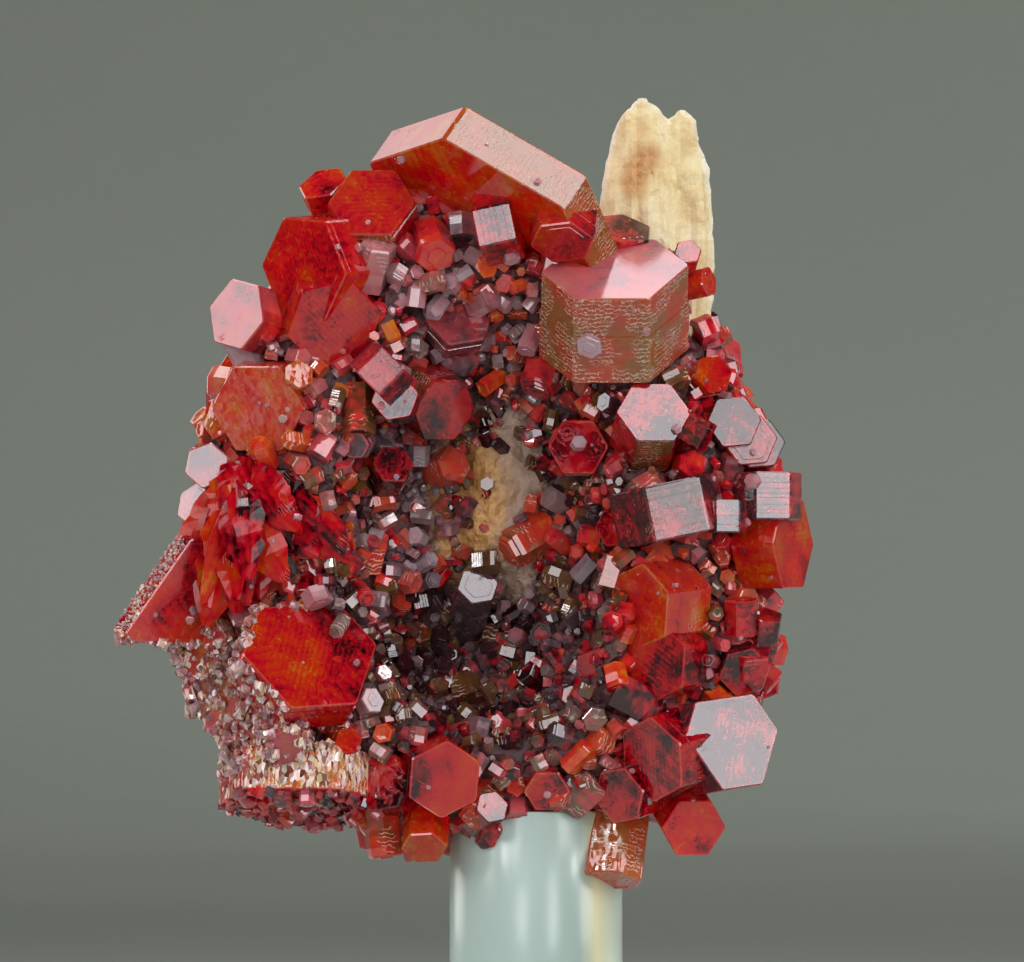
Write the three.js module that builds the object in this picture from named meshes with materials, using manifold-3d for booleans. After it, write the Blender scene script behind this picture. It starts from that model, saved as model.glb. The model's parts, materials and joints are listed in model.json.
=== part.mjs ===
// Vanadinite crystals on a barite matrix, standing on a clear rod and foot.
// Millimetres. +X right, +Y away from the display side, +Z up.
// The origin is the middle of the foot's underside.
import * as THREE from 'three';
import { mergeVertices } from 'three/addons/utils/BufferGeometryUtils.js';
import Module from 'manifold-3d';

const wasm = await Module();
wasm.setup();

// ---------- stand ----------
const ROD_DIAMETER = 9.5;
const FOOT_DIAMETER = 44;
const FOOT_HEIGHT = 5;
const FOOT_BEVEL = 0.6;
const STAND_SIDES = 40;
const FIT_GAP = 0.3; // between the rod and what it touches
const ROD_TOP = 20.4;

// ---------- matrix ----------
const SOCKET_GAP = 0.15; // between a crystal and the matrix around it
const LUMP_HEIGHT = 0.05; // share of the radius
// centre, radii, lean to the right, turn about the vertical
const CORE = [[-3.0, 2.6, 37.4], [15.0, 8.0, 17.0], 0, 0];
const LOWER_CORE = [[-2.4, 2.4, 28.8], [15.2, 7.6, 10.2], 0, 0];
const CORE_SQUARENESS = 4; // 2 is a true ellipsoid, more is flatter in front and behind
const HOLLOW = [[-3.0, -8.6, 36.8], [8.8, 9.8, 14.6], 0, 0];
const PIT = [[-4.0, -2.6, 29.8], [5.2, 5.6, 5.4], 0, 0];
const HOLLOW_RIDGE = [[-1.9, 3.4, 37.0], [2.8, 4.0, 7.6], -4, 0];
const BARITE_BLADES = [
  [[5.9, 1.0, 51.3], [2.6, 1.3, 8.4], 0, 15],
  [[8.0, 1.6, 50.2], [1.9, 1.2, 9.0], 0, -10],
  [[-6.0, 11.2, 41.5], [6.0, 1.3, 5.4], 15, 20],
  [[1.6, 11.0, 36.0], [5.2, 1.2, 6.4], -20, -25],
  [[-8.6, 10.8, 32.0], [4.4, 1.2, 5.2], 40, 10],
  [[-1.4, 11.0, 27.6], [6.4, 1.1, 3.6], -10, -8],
  [[5.6, 9.4, 44.6], [3.8, 1.1, 5.6], 25, -35],
];

// ---------- crystals ----------
// name, centre of the outer end face, yaw, pitch, spin, radius, length, side factors
// yaw turns the end face from the display side towards +X, pitch tips it up, spin turns it
// about its own axis, and a side factor moves one of the six prism faces in or out.
const CRYSTALS = [
  // top
  ['crown_tablet', [-2.7, -2.6, 52.1], -47, -47, 13, 7.6, 2.5],
  ['crown_bud', [1.4, -7.0, 51.4], -5, -50, 10, 1.9, 2.6],
  ['square_prism', [-1.0, -5.4, 52.6], 80, 12, 30, 2.1, 2.1],
  ['great_prism', [4.3, -5.6, 50.0], 1, 61, 0, 4.2, 5.2, [1.06, 1, 0.95, 1.03, 0.96, 0.92]],
  ['prism_back_plate', [4.7, -2.2, 52.3], 20, 60, 10, 1.8, 2.6],
  ['shoulder_pink_bud', [8.3, -3.6, 51.0], 8, 27, 10, 0.8, 2.6],
  ['right_shoulder_bud', [9.5, -2.2, 49.4], 60, 10, 10, 0.9, 2.0],
  ['smoky_prism', [-6.3, -2.8, 51.4], 0, 84, 5, 1.0, 2.0],
  // upper left
  ['left_crown_tablet', [-9.0, -4.2, 53.7], -5, 30, 0, 2.5, 2.4],
  ['left_crown_bud', [-11.7, -2.2, 54.8], -30, 50, 10, 1.5, 2.4],
  ['red_hexagon', [-12.7, -4.7, 50.0], -42, -4, 55, 3.2, 2.0],
  ['red_hexagon_step', [-11.0, -5.2, 47.0], 10, -20, 15, 2.7, 2.6],
  ['pale_edge_prism', [-16.4, -3.4, 47.6], -40, 10, 48, 2.1, 2.4],
  ['left_rough_tablet', [-15.2, -4.8, 42.4], -15, -8, 0, 2.7, 2.4],
  ['left_edge_bud', [-17.4, -3.5, 42.0], -45, 10, 20, 1.4, 2.4],
  ['left_white_bud', [-12.9, -5.6, 44.3], 15, 20, 25, 0.9, 2.4],
  // left
  ['lilac_prism', [-18.0, -4.2, 39.3], -10, 4, 20, 1.3, 2.8],
  ['white_edge_prism', [-18.7, -3.4, 37.2], -38, 15, 30, 1.3, 3.2],
  ['left_wedge_tablet', [-17.8, -3.6, 32.4], 30, -15, 58, 3.4, 1.4, [1, 1, 1.9, 1, 1, 1]],
  ['fan_plate_upper', [-13.5, -4.6, 38.0], 50, 50, 20, 3.4, 1.1],
  ['fan_plate_middle', [-13.0, -5.2, 35.6], 60, 25, 10, 3.4, 1.0],
  ['fan_plate_lower', [-14.5, -5.3, 34.6], 72, 5, 20, 2.9, 1.0],
  ['left_front_tablet', [-12.3, -6.0, 29.1], 20, 30, 4, 3.9, 2.4, [1.07, 0.91, 1.05, 1, 1, 1]],
  ['white_flake_prism', [-13.8, -6.2, 25.5], -10, 50, 15, 1.4, 2.4],
  ['left_druse_upper', [-18.6, -2.8, 29.5], -35, 0, 10, 2.1, 2.6],
  ['left_druse_middle', [-17.6, -2.6, 27.0], -30, -10, 30, 2.0, 2.6],
  ['left_druse_lower', [-16.5, -3.0, 25.3], -25, -15, 5, 1.9, 2.2],
  ['bottom_left_tablet', [-12.4, -1.8, 20.6], -12, -76, 0, 5.2, 2.5],
  ['left_low_bud', [-10.2, -5.8, 24.3], 20, 10, 10, 0.9, 2.4],
  // rim of the hollow, left side
  ['rim_diamond_prism', [-7.6, -5.2, 45.0], 90, 45, 21, 1.8, 2.0],
  ['rim_grey_hexagon', [-7.7, -5.8, 43.0], -5, 5, 10, 1.35, 3.2],
  ['rim_grey_bud', [-9.8, -5.0, 42.1], -10, 10, 20, 0.8, 2.4],
  ['rim_pale_bud', [-9.9, -4.8, 40.4], -10, -5, 0, 0.9, 2.4],
  ['rim_brown_prism', [-5.0, -3.0, 42.3], 30, -20, 0, 2.0, 3.8],
  ['rim_upper_prism', [-4.2, -2.4, 47.7], 10, 20, 10, 2.1, 2.6],
  ['rim_left_prism', [-7.8, -3.8, 39.4], 10, 20, 0, 1.2, 4.2],
  ['rim_dark_hexagon', [-10.4, -5.0, 36.4], 20, -5, 30, 1.0, 2.2],
  ['hollow_white_prism', [-3.2, -0.6, 32.7], 8, 27, 10, 1.2, 5.0],
  // right
  ['rim_red_prism', [2.3, -4.2, 40.3], -5, 0, 0, 1.8, 2.6],
  ['right_stepped_prism', [6.4, -6.6, 42.2], 7, 29, 0, 2.1, 3.4],
  ['right_white_bud', [8.8, -5.2, 42.1], 90, 60, 39, 1.4, 1.7],
  ['right_shoulder_prism', [9.7, -4.6, 44.3], 20, 10, 10, 1.2, 3.0],
  ['right_plate_front', [10.8, -4.4, 41.7], 10, 10, 5, 1.6, 2.4],
  ['right_plate_middle', [11.7, -4.0, 40.7], 10, 10, 5, 1.6, 2.4],
  ['right_plate_back', [12.2, -3.5, 40.5], 10, 10, 5, 1.5, 2.4],
  ['right_tall_prism', [12.6, -3.3, 38.9], 0, 92, 11, 2.0, 2.6],
  ['right_small_prism', [10.2, -5.0, 37.4], 0, 92, 11, 1.4, 1.8],
  ['right_broad_prism', [6.9, -4.8, 38.3], -90, 78, 39, 3.1, 3.0],
  ['right_edge_crystal', [14.1, -2.6, 35.0], 65, 0, 0, 2.8, 2.6],
  ['right_amber_prism', [5.6, -5.6, 31.6], -45, -5, 19, 2.5, 3.4],
  ['right_dark_prism', [6.3, -5.8, 28.6], -33, -3, 24, 2.4, 2.4],
  ['right_pink_prism', [11.2, -4.4, 32.0], 0, 80, 15, 1.0, 2.0],
  ['right_dusky_prism', [12.4, -3.2, 31.2], 20, 70, 5, 1.2, 2.6],
  ['right_band_prism', [11.6, -3.8, 29.4], 15, 60, 10, 1.4, 2.2],
  ['right_ruby_crystal', [11.4, -4.4, 28.0], 10, -20, 15, 1.6, 2.2],
  ['right_mirror_tablet', [10.7, -6.0, 24.4], 35, 8, 6, 3.1, 2.4, [1.05, 0.86, 1.1, 0.9, 1, 1]],
  ['right_orange_hexagon', [6.3, -6.8, 23.3], -44, -12, 22, 2.5, 2.6],
  ['right_low_prism', [8.6, -5.0, 19.5], 10, -15, 0, 1.8, 2.8],
  ['rim_right_prism', [3.4, -4.2, 27.8], -30, -10, 20, 1.8, 2.4],
  ['rim_dusky_prism', [4.4, -3.4, 36.0], -20, 10, 5, 1.3, 2.4],
  // bottom
  ['bottom_prism', [4.1, -3.4, 16.6], -20, -70, 0, 1.8, 4.6],
  ['bottom_crust_prism', [1.9, -3.8, 18.5], -20, -60, 20, 1.1, 3.4],
  ['bottom_dark_prism', [4.5, -5.5, 21.3], -35, -10, 10, 1.7, 2.6],
  ['bottom_purple_hexagon', [-5.0, -6.4, 22.2], 10, -10, 27, 2.2, 3.2],
  ['bottom_red_prism', [-8.4, -5.2, 22.0], -30, 10, 10, 1.7, 2.6],
  ['bottom_amber_hexagon', [-6.1, -4.9, 18.4], -5, -45, 5, 1.3, 2.4],
  ['bottom_grey_prism', [-2.4, -5.7, 20.7], 20, 20, 10, 1.0, 2.6],
  ['bottom_bud', [-2.4, -4.4, 18.8], 0, -30, 10, 1.0, 2.8],
  ['bottom_centre_prism', [0.6, -5.2, 21.5], 0, -20, 0, 1.3, 2.8],
  // sides and back
  ['side_right_prism', [12.2, 1.6, 25.6], 85, -20, 0, 2.0, 3.0],
  ['side_left_tablet', [-18.6, 2.6, 36.0], -95, 5, 20, 2.8, 2.0],
  ['back_right_prism', [12.4, 4.6, 41.0], 115, 20, 10, 2.2, 2.8],
  ['back_right_tablet', [10.8, 8.2, 31.0], 130, -5, 20, 2.8, 2.8],
  ['back_left_tablet', [-16.8, 6.4, 43.6], -120, 20, 0, 3.0, 2.8],
  ['back_left_prism', [-16.2, 8.4, 30.4], -130, -10, 25, 2.2, 3.2],
  ['back_top_tablet', [-7.0, 8.6, 53.0], 190, 40, 5, 3.2, 2.8],
  ['back_low_prism', [-9.4, 9.6, 22.6], -160, -35, 10, 2.3, 3.2],
];

// ---------- helpers ----------
const rad = THREE.MathUtils.degToRad;

function solidOf(geometry) {
  const bare = geometry.clone();
  bare.deleteAttribute('normal');
  bare.deleteAttribute('uv');
  const merged = mergeVertices(bare, 1e-4);
  return new wasm.Manifold(new wasm.Mesh({
    numProp: 3,
    vertProperties: new Float32Array(merged.attributes.position.array),
    triVerts: new Uint32Array(merged.index.array),
  }));
}

function geometryOf(solid) {
  const mesh = solid.getMesh();
  const geometry = new THREE.BufferGeometry();
  geometry.setAttribute('position', new THREE.BufferAttribute(mesh.vertProperties, 3));
  geometry.setIndex(new THREE.BufferAttribute(mesh.triVerts, 1));
  geometry.computeVertexNormals();
  return geometry;
}

function largestBody(solid) {
  return solid.decompose().sort((a, b) => b.volume() - a.volume())[0];
}

// Corners of a hexagon whose six sides lie at their own distances from the middle.
function hexagon(apothems, spin) {
  const corners = [];
  for (let k = 0; k < 6; k += 1) {
    const before = rad(spin - 30 + 60 * k);
    const after = rad(spin + 30 + 60 * k);
    const a = apothems[(k + 5) % 6];
    const b = apothems[k];
    const det = Math.sin(after - before);
    const x = (a * Math.sin(after) - b * Math.sin(before)) / det;
    const y = (b * Math.cos(before) - a * Math.cos(after)) / det;
    corners.push(new THREE.Vector2(x, y));
  }
  return corners;
}

// A hexagonal prism whose outer end face is centred on a point and faces yaw and pitch.
function crystalGeometry([, centre, yaw, pitch, spin, radius, length, sides], grow = 0) {
  const factors = sides ?? [1, 1, 1, 1, 1, 1];
  const apothems = factors.map((f) => radius * Math.cos(rad(30)) * f + grow);
  const depth = length + 2 * grow;
  const geometry = new THREE.ExtrudeGeometry(
    new THREE.Shape(hexagon(apothems, spin)),
    { depth, bevelEnabled: false },
  );
  const [y, p] = [rad(yaw), rad(pitch)];
  const across = new THREE.Vector3(Math.cos(y), Math.sin(y), 0);
  const outward = new THREE.Vector3(
    Math.sin(y) * Math.cos(p),
    -Math.cos(y) * Math.cos(p),
    Math.sin(p),
  );
  const up = new THREE.Vector3().crossVectors(outward, across);
  const base = new THREE.Vector3(...centre).addScaledVector(outward, grow - depth);
  const pose = new THREE.Matrix4().makeBasis(across, up, outward).setPosition(base);
  return geometry.applyMatrix4(pose);
}

// Crystals that run into each other are one solid, named after the first of them.
function intergrownGroups() {
  const groups = [];
  for (const crystal of CRYSTALS) {
    let solid = solidOf(crystalGeometry(crystal));
    let socket = solidOf(crystalGeometry(crystal, SOCKET_GAP));
    let name = crystal[0];
    for (let i = groups.length - 1; i >= 0; i -= 1) {
      if (groups[i].solid.intersect(solid).volume() > 0) {
        solid = groups[i].solid.add(solid);
        socket = groups[i].socket.add(socket);
        name = groups[i].name;
        groups.splice(i, 1);
      }
    }
    groups.push({ name, solid, socket });
  }
  return groups;
}

// Smooth lumps: a sum of three plane waves in different directions.
function lump({ x, y, z }) {
  return (
    Math.sin(5.1 * x + 2.3 * z + 0.4)
    + Math.sin(4.7 * y - 3.9 * x + 1.7)
    + Math.sin(6.3 * z + 2.9 * y + 2.6)
  ) / 3;
}

// An ellipsoid of flat facets, lumpy or smooth, leaning sideways and turned.
function ellipsoid([centre, radii, lean, turn], detail, lumpHeight = 0, squareness = 2) {
  const geometry = new THREE.IcosahedronGeometry(1, detail);
  const position = geometry.attributes.position;
  const point = new THREE.Vector3();
  for (let i = 0; i < position.count; i += 1) {
    point.fromBufferAttribute(position, i).normalize();
    const outline = Math.hypot(point.x, point.z) ** squareness;
    const reach = (outline + Math.abs(point.y) ** squareness) ** (-1 / squareness);
    point.multiplyScalar(reach * (1 + lumpHeight * lump(point)));
    position.setXYZ(i, point.x * radii[0], point.y * radii[1], point.z * radii[2]);
  }
  geometry.rotateY(rad(lean));
  geometry.rotateZ(rad(turn));
  return solidOf(geometry.translate(...centre));
}

// The rock: a lumpy core with a hollow in front, a ridge in the hollow, and barite blades.
function matrixSolid() {
  let rock = ellipsoid(CORE, 4, LUMP_HEIGHT, CORE_SQUARENESS);
  rock = rock.add(ellipsoid(LOWER_CORE, 3, LUMP_HEIGHT, CORE_SQUARENESS));
  rock = rock.subtract(ellipsoid(HOLLOW, 3, LUMP_HEIGHT));
  rock = rock.add(ellipsoid(HOLLOW_RIDGE, 2));
  rock = rock.subtract(ellipsoid(PIT, 2));
  for (const blade of BARITE_BLADES) {
    rock = rock.add(ellipsoid(blade, 2));
  }
  return rock;
}

// A turned solid from its profile of [radius, height] pairs, standing on Z.
function turned(profile) {
  const points = profile.map(([r, h]) => new THREE.Vector2(r, h));
  return new THREE.LatheGeometry(points, STAND_SIDES).rotateX(Math.PI / 2);
}

function rodGeometry(top, grow = 0) {
  const radius = ROD_DIAMETER / 2 + grow;
  const foot = FOOT_HEIGHT + FIT_GAP;
  return turned([[0, foot], [radius, foot], [radius, top], [0, top]]);
}

function footGeometry() {
  const radius = FOOT_DIAMETER / 2;
  return turned([
    [0, 0],
    [radius - FOOT_BEVEL, 0],
    [radius, FOOT_BEVEL],
    [radius, FOOT_HEIGHT - FOOT_BEVEL],
    [radius - FOOT_BEVEL, FOOT_HEIGHT],
    [0, FOOT_HEIGHT],
  ]);
}

const material = (color, roughness) => new THREE.MeshStandardMaterial({ color, roughness });
const CRYSTAL_MATERIAL = material(0xa5180f, 0.2);
const MATRIX_MATERIAL = material(0xd8c9a0, 0.8);
const STAND_MATERIAL = material(0xc4dccd, 0.1);

const group = new THREE.Group();

function addMesh(name, geometry, meshMaterial) {
  const mesh = new THREE.Mesh(geometry, meshMaterial);
  mesh.name = name;
  group.add(mesh);
}

const grown = intergrownGroups();
const rodSeat = solidOf(rodGeometry(ROD_TOP + FIT_GAP, FIT_GAP));
let matrix = matrixSolid().subtract(rodSeat);
for (const { name, solid, socket } of grown) {
  matrix = matrix.subtract(socket);
  addMesh(name, geometryOf(largestBody(solid.subtract(rodSeat))), CRYSTAL_MATERIAL);
}
addMesh('matrix', geometryOf(largestBody(matrix)), MATRIX_MATERIAL);
addMesh('stand_rod', rodGeometry(ROD_TOP), STAND_MATERIAL);
addMesh('stand_foot', footGeometry(), STAND_MATERIAL);

export default group;
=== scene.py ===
"""Vanadinite on matrix: looks, floor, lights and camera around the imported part."""
import json
import math
import random
import bpy
import numpy as np
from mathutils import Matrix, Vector, noise
from mathutils.bvhtree import BVHTree

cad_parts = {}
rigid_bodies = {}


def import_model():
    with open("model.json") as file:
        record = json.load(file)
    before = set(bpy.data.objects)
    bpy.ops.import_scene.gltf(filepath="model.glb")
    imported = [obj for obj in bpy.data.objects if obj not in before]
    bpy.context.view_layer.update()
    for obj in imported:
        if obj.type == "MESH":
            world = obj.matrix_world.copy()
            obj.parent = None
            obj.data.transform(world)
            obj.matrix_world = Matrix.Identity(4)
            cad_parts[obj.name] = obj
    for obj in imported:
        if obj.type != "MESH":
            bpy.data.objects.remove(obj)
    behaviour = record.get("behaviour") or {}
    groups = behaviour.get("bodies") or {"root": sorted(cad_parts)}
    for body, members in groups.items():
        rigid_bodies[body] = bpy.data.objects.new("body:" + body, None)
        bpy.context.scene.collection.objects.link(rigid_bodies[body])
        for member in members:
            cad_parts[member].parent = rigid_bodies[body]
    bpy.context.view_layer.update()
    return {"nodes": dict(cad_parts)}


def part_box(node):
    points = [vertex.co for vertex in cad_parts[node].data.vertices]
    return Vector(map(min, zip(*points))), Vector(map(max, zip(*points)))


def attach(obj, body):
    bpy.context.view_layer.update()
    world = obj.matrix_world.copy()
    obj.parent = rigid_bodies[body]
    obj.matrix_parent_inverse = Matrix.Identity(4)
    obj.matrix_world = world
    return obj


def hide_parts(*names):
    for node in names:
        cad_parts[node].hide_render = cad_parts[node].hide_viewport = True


MM = 0.001
WELD = 2e-6            # metres: corners closer than this are one corner
SLIVER = 2e-5          # metres: triangles thinner than this have no reliable normal
SAME_WAY = 0.9995      # cosine: two faces that look the same way
SQUARE = 0.01          # cosine: how far from square or from sixty degrees a pair may be
HEX = math.radians(60)
CRYSTAL_IOR = 1.7

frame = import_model()
nodes = frame["nodes"]
rock_low, rock_high = (np.array(v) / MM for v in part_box("matrix"))
middle_x = (rock_low[0] + rock_high[0]) / 2
HOLLOW_MIDDLE = Vector((middle_x - 0.16, 0.0, rock_low[2] + 0.4444 * (rock_high[2] - rock_low[2])))
REAR = rock_low[1] + 10.9      # how far back the side crystals reach
CRYSTAL_NODES = sorted(n for n in nodes if n not in ("matrix", "stand_rod", "stand_foot"))

COOL = (1.0, 0.965, 1.0)
WARM = (1.0, 0.93, 0.86)
WHITE = (1.0, 1.0, 1.0)
GREENISH = (0.98, 1.0, 0.95)
# name: direction, distance and size in metres, glow and colour, and the target if it isn't the specimen
LAMPS = {
    "top": ((0.0, 0.20, 0.98), 0.40, (0.30, 0.20), 6.0, COOL),
    "back": ((0.0, 0.56, 0.83), 0.42, (0.26, 0.12), 3.6, COOL),
    "right": ((0.92, -0.32, 0.24), 0.40, (0.16, 0.24), 6.0, COOL),
    "left": ((-0.93, -0.20, 0.42), 0.40, (0.24, 0.13), 6.0, COOL),
    "back_left": ((-0.43, 0.79, 0.43), 0.42, (0.16, 0.14), 1.7, COOL),
    "front_left": ((-0.32, -0.93, 0.12), 0.55, (0.16, 0.18), 5.6, COOL),
    "front_right": ((0.38, -0.90, 0.10), 0.55, (0.14, 0.32), 6.5, COOL),
    "high_left": ((-0.45, -0.72, 0.52), 0.50, (0.14, 0.14), 6.0, COOL),
    "high_right": ((0.55, -0.60, 0.58), 0.50, (0.14, 0.14), 6.0, COOL),
    "front_top": ((0.20, -0.55, 0.81), 0.45, (0.14, 0.12), 6.0, COOL),
    "glow_left": ((-0.80, 0.58, 0.12), 0.40, (0.18, 0.16), 3.5, WARM),
    "spark_left": ((-0.64, -0.62, 0.44), 0.50, (0.05, 0.05), 26.0, WHITE),
    "spark_right": ((0.76, -0.54, 0.36), 0.50, (0.05, 0.05), 26.0, WHITE),
    "backdrop_wash": ((0, -0.25, 0.97), 1.1, (1.2, 0.7), 3.6, GREENISH, (0.30, 0.85, 0.0)),
}


# ---------------------------------------------------------------- mesh helpers
class Shape:
    """Corners, faces and per-corner looks of one piece, in millimetres."""

    def __init__(self, label=""):
        self.label = label
        self.points = []
        self.faces = []
        self.tints = []
        self.alongs = []
        self.crusts = []
        self.count = 0

    def add(self, points, faces, tint, along, crust=0.0):
        """tint and crust are one value or one per corner, along is one number per corner."""
        points = np.asarray(points, float)
        self.points.append(points)
        self.faces.extend([[i + self.count for i in f] for f in faces])
        self.tints.append(np.broadcast_to(np.asarray(tint, float), (len(points), 4)))
        self.alongs.append(np.asarray(along, float))
        self.crusts.append(np.broadcast_to(np.asarray(crust, float), len(points)))
        self.count += len(points)


def make_piece(name, shape, material, smooth=False):
    mesh = bpy.data.meshes.new(name)
    points = np.vstack(shape.points) * MM
    mesh.from_pydata(points.tolist(), [], shape.faces)
    tint = mesh.attributes.new("tint", "FLOAT_COLOR", "POINT")
    tint.data.foreach_set("color", np.vstack(shape.tints).astype(np.float32).ravel())
    along = mesh.attributes.new("along", "FLOAT", "POINT")
    along.data.foreach_set("value", np.concatenate(shape.alongs).astype(np.float32))
    crust = mesh.attributes.new("crust", "FLOAT", "POINT")
    crust.data.foreach_set("value", np.concatenate(shape.crusts).astype(np.float32))
    mesh.polygons.foreach_set("use_smooth", [smooth] * len(mesh.polygons))
    mesh.materials.append(material)
    mesh.update()
    piece = bpy.data.objects.new(name, mesh)
    bpy.context.scene.collection.objects.link(piece)
    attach(piece, "root")
    return piece


def bridge(rings, size):
    """Faces of a skin over rings of the same number of corners, with both ends closed."""
    faces = [list(range(size - 1, -1, -1))]
    for r in range(rings - 1):
        low, high = r * size, (r + 1) * size
        for i in range(size):
            j = (i + 1) % size
            faces.append([low + i, low + j, high + j, high + i])
    faces.append([(rings - 1) * size + i for i in range(size)])
    return faces


# ---------------------------------------------------------------- reading the crystals
def welded(obj):
    """The node's corners, in millimetres, and its triangles, with shared corners merged."""
    mesh = obj.data
    mesh.calc_loop_triangles()
    corners = np.array([v.co for v in mesh.vertices], float)
    triangles = np.array([t.vertices for t in mesh.loop_triangles])
    keys = np.round(corners / WELD).astype(np.int64)
    _, first, inverse = np.unique(keys, axis=0, return_index=True, return_inverse=True)
    triangles = inverse.reshape(-1)[triangles]
    return corners[first] / MM, triangles


def crystal_patches(corners, triangles):
    """Groups of triangles that meet over convex or flat edges, each from one crystal."""
    a, b, c = (corners[triangles[:, i]] for i in range(3))
    cross = np.cross(b - a, c - a)
    doubled = np.linalg.norm(cross, axis=1)
    longest = np.max([np.linalg.norm(b - a, axis=1), np.linalg.norm(c - b, axis=1),
                      np.linalg.norm(a - c, axis=1)], axis=0)
    good = doubled > np.maximum(longest, 1e-9) * SLIVER / MM
    normals = cross / np.maximum(doubled, 1e-12)[:, None]
    parent = list(range(len(triangles)))

    def root(i):
        while parent[i] != i:
            parent[i] = parent[parent[i]]
            i = parent[i]
        return i

    by_edge = {}
    for t, (i, j, k) in enumerate(triangles):
        if good[t]:
            for p, q, far in ((i, j, k), (j, k, i), (k, i, j)):
                by_edge.setdefault((min(p, q), max(p, q)), []).append((t, p, far))
    for pair in by_edge.values():
        if len(pair) == 2:
            (t, p, _), (s, _, far) = pair
            if normals[t] @ (corners[far] - corners[p]) < 1e-3:
                parent[root(t)] = root(s)
    planes = {}
    for t in range(len(triangles)):
        if good[t]:
            key = (*np.round(normals[t] * 200).astype(int),
                   int(round(normals[t] @ a[t] * 50)))
            planes.setdefault(key, []).append(t)
    for same in planes.values():
        for t in same[1:]:
            parent[root(t)] = root(same[0])
    patches = {}
    for t in range(len(triangles)):
        if good[t]:
            patches.setdefault(root(t), []).append(t)
    return [(np.array(p), normals[p], doubled[p] / 2) for p in patches.values()]


def plane_list(normals, areas):
    """The patch's different face directions, each with its whole area."""
    found = []
    for n, area in zip(normals, areas):
        for entry in found:
            if entry[0] @ n > SAME_WAY:
                entry[1] += area
                break
        else:
            found.append([n, area])
    return found


def long_axis(planes):
    """The direction that has the most faces square to it at sixty degrees to each other."""
    best, best_score = None, 0
    candidates = [n for n, _ in planes]
    for i, (m, _) in enumerate(planes):
        for n, _ in planes[i + 1:]:
            if abs(abs(m @ n) - 0.5) < SQUARE:
                axis = np.cross(m, n)
                candidates.append(axis / np.linalg.norm(axis))
    for axis in candidates:
        sides = [n for n, _ in planes if abs(n @ axis) < SQUARE]
        score = 0
        for i, m in enumerate(sides):
            for n in sides[i + 1:]:
                dot = abs(m @ n)
                score += abs(dot - 0.5) < SQUARE or abs(dot - 1) < SQUARE
        if score > best_score:
            best, best_score = axis, score
    return best


SEAT_GAP = 0.35        # millimetres between the rod and the cut round it


def in_rod_seat(triangles):
    """Whether each triangle is part of the round cut that the rod needs."""
    low, high = (np.array(v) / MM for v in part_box("stand_rod"))
    reach = (high[0] - low[0]) / 2 + SEAT_GAP
    inside = np.hypot(triangles[:, :, 0], triangles[:, :, 1]) < reach
    return (inside & (triangles[:, :, 2] < high[2] + SEAT_GAP)).all(axis=1)


def read_crystals(node):
    """Every crystal of a node: its middle, its three directions, six side distances and ends."""
    corners, triangles = welded(nodes[node])
    triangles = triangles[~in_rod_seat(corners[triangles])]
    heart = (rock_low + rock_high) / 2
    crystals = []
    for members, normals, areas in crystal_patches(corners, triangles):
        planes = plane_list(normals, areas)
        axis = long_axis(planes)
        if axis is None or len(planes) < 3:
            continue
        own = corners[np.unique(triangles[members])]
        middle = (own.min(0) + own.max(0)) / 2
        outward = middle - heart
        outward[1] -= 6  # crystals in front of the rock point forward
        if axis @ outward < 0:
            axis = -axis
        sides = [(area, n) for n, area in planes if abs(n @ axis) < 0.02]
        u = max(sides, key=lambda s: s[0])[1]
        v = np.cross(axis, u)
        directions = [math.cos(HEX * k) * u + math.sin(HEX * k) * v for k in range(6)]
        apothems = [float(((own - middle) @ d).max()) for d in directions]
        along = (own - middle) @ axis
        crystals.append({
            "node": node, "middle": middle, "axes": (u, v, axis),
            "apothems": apothems, "low": float(along.min()), "high": float(along.max()),
        })
    crystals.sort(key=lambda c: -sum(c["apothems"]) ** 2 * (c["high"] - c["low"]))
    return crystals


# ---------------------------------------------------------------- crystal shapes
def hexagon(apothems, chamfer):
    """Twelve corners of a hexagon with cut corners, from its six side distances."""
    corners = []
    for k in range(6):
        before, after = HEX * (k - 1), HEX * k
        a, b = apothems[k - 1], apothems[k]
        x = (a * math.sin(after) - b * math.sin(before)) / math.sin(HEX)
        y = (b * math.cos(before) - a * math.cos(after)) / math.sin(HEX)
        corners.append(np.array([x, y]))
    ring = []
    for k in range(6):
        here = corners[k]
        for other in (corners[k - 1], corners[(k + 1) % 6]):
            reach = np.linalg.norm(other - here)
            cut = min(chamfer, 0.3 * reach)
            ring.append(here + (other - here) / max(reach, 1e-9) * cut)
    return ring


def side_lengths(apothems):
    lengths = []
    for k in range(6):
        a, b, c = apothems[k - 1], apothems[k], apothems[(k + 1) % 6]
        lengths.append((a + c - 2 * b * math.cos(HEX)) / math.sin(HEX))
    return lengths


PITCH = 0.16           # millimetres between growth lines, before chance
GROOVE = 0.022         # the deepest growth groove
BEVEL = 0.07
EDGE_WIDTH = 0.07      # the width of the painted highlight line round an end face
FROSTED_END = 0.55     # how pale the ends of a fully lined crystal are
TABLET = 1.3           # a crystal shorter than this times its side distance is a tablet


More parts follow.
